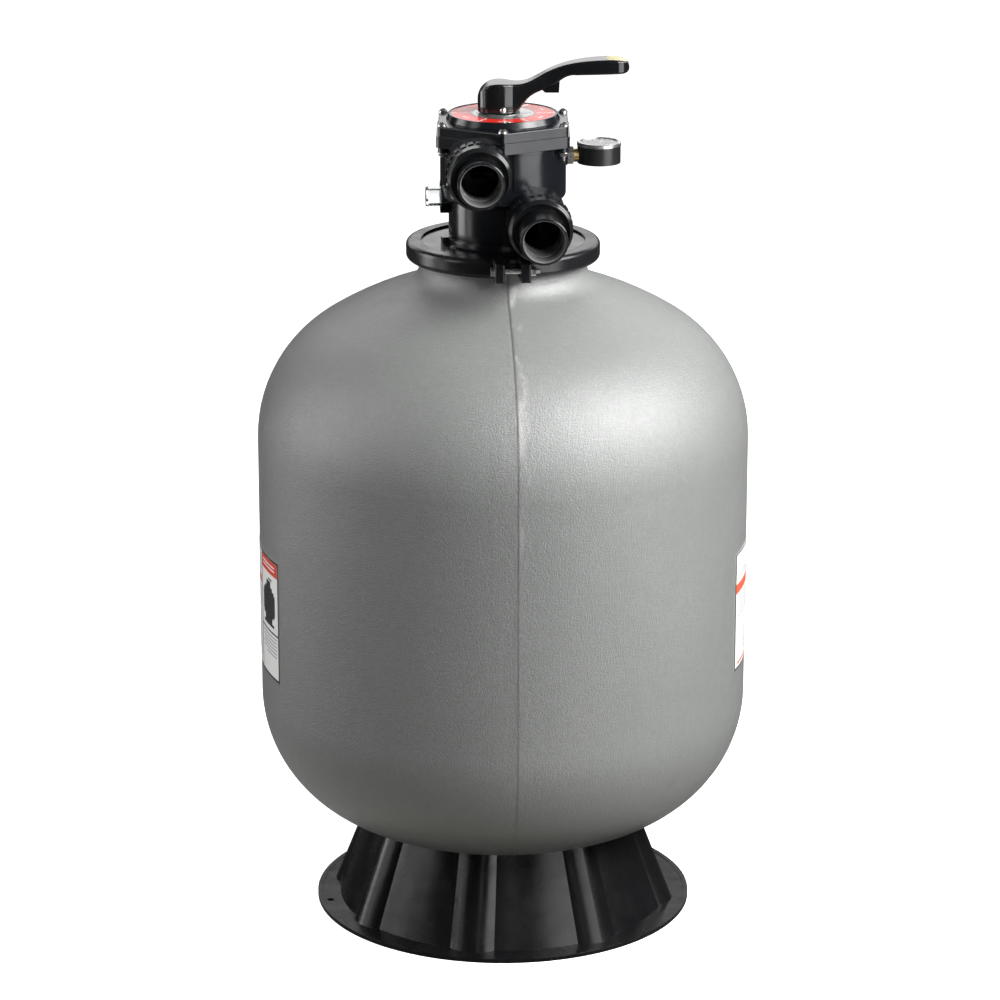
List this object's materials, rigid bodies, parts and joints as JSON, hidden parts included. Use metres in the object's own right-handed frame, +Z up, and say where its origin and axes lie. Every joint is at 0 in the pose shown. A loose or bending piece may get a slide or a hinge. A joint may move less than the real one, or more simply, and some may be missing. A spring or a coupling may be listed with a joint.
{
  "type": "sand filter tank",
  "caption": "Upright pool sand filter: a round pressure tank on a black stand, with a clamped top-mount multiport valve, lever, gauge, sight glass and union ports.",
  "frame": {"origin": "centre of the stand's underside, on the tank's vertical axis", "axes": "+Z up; the two front ports point along -Y; the gauge points to +X and the sight glass to -X"},
  "size_m": [0.6108, 0.611, 1.0852],
  "materials": {
    "tank_plastic": "satin, fine orange peel",
    "stand_plastic": "semi-gloss",
    "label_paper": "smooth, laminated",
    "seal_rubber": "matt",
    "clamp_plastic": "satin",
    "steel": "satin",
    "spring_steel": "satin",
    "valve_plastic": "gloss",
    "union_plastic": "gloss",
    "rotor_plastic": "satin",
    "handle_plastic": "high gloss",
    "patch_print": "printed, glossy",
    "dial_print": "printed, glossy",
    "pointer_print": "printed foil",
    "brass": "machined",
    "gauge_paint": "satin black",
    "chrome_trim": "polished",
    "clear_lens": "clear",
    "dial_face": "printed",
    "needle_black": "satin",
    "internal_plastic": "moulded",
    "pipe_plastic": "extruded",
    "fitting_plastic": "moulded"
  },
  "bodies": {
    "tank": {"base_stand": "stand_plastic", "clamp_bolts": "steel", "clamp_half_left": "clamp_plastic", "clamp_half_right": "clamp_plastic", "clamp_nuts": "steel", "clamp_washers": "steel", "cover_nuts": "steel", "cover_oring": "seal_rubber", "cover_screws": "steel", "cover_washers": "steel", "diffuser": "internal_plastic", "drain_fitting": "fitting_plastic", "drain_gasket": "seal_rubber", "gauge_adapter": "steel", "gauge_bezel": "chrome_trim", "gauge_case": "gauge_paint", "gauge_dial": "dial_face", "gauge_lens": "clear_lens", "gauge_stem": "brass", "label_left": "label_paper", "label_right": "label_paper", "lateral_hub": "internal_plastic", "laterals": "internal_plastic", "neck_oring": "seal_rubber", "position_plate": "dial_print", "pump_tailpiece": "union_plastic", "pump_union_oring": "seal_rubber", "return_tailpiece": "union_plastic", "return_union_oring": "seal_rubber", "sight_glass": "clear_lens", "sight_glass_oring": "seal_rubber", "spider_gasket": "seal_rubber", "standpipe": "pipe_plastic", "tank_shell": "tank_plastic", "valve_body": "valve_plastic", "valve_cover": "valve_plastic", "waste_tailpiece": "union_plastic", "waste_union_oring": "seal_rubber"},
    "selector": {"pointer_disc": "pointer_print", "thrust_washer": "steel"},
    "stem": {"rotor": "rotor_plastic", "stem": "rotor_plastic", "stem_oring": "seal_rubber", "handle_pin": "steel", "return_spring": "spring_steel"},
    "handle": {"handle": "handle_plastic", "handle_patch": "patch_print"},
    "gauge_hand": {"gauge_needle": "needle_black"},
    "pump_nut": {"pump_union_nut": "union_plastic"},
    "return_nut": {"return_union_nut": "union_plastic"},
    "waste_nut": {"waste_union_nut": "union_plastic"},
    "drain_cap": {"drain_cap": "fitting_plastic", "drain_cap_oring": "seal_rubber"}
  },
  "joints": [
    {"name": "selector_turn", "type": "hinge", "parent": "tank", "child": "selector", "pos_m": [0, 0, 1], "axis": [0, 0, 1], "continuous": true},
    {"name": "stem_lift", "type": "slide", "parent": "selector", "child": "stem", "axis": [0, 0, 1], "range_m": [0, 0.0046], "stiffness_N_per_m": 6000, "springref_m": -0.02, "deforming": ["return_spring"]},
    {"name": "handle_tilt", "type": "hinge", "parent": "stem", "child": "handle", "pos_m": [0, 0, 1.0245], "axis": [0.0628, 0.998, 0], "range_deg": [0, 16]},
    {"name": "gauge_hand_turn", "type": "hinge", "parent": "tank", "child": "gauge_hand", "pos_m": [0.1175, 0, 0.975], "axis": [0, 0, -1], "range_deg": [0, 270], "stiffness_Nm_per_rad": 0.002},
    {"name": "pump_nut_turn", "type": "hinge", "parent": "tank", "child": "pump_nut", "pos_m": [-0.0365, -0.12, 0.965], "axis": [0, -1, 0], "continuous": true},
    {"name": "return_nut_turn", "type": "hinge", "parent": "tank", "child": "return_nut", "pos_m": [0.0365, -0.127, 0.902], "axis": [0, -1, 0], "continuous": true},
    {"name": "waste_nut_turn", "type": "hinge", "parent": "tank", "child": "waste_nut", "pos_m": [0, 0.12, 0.902], "axis": [0, 1, 0], "continuous": true},
    {"name": "drain_cap_turn", "type": "hinge", "parent": "tank", "child": "drain_cap", "pos_m": [0, 0.29, 0.165], "axis": [0, 1, 0], "continuous": true}
  ],
  "couplings": [
    {"joint": "handle_tilt", "follows": "stem_lift", "rad_per_m": 60.707}
  ]
}
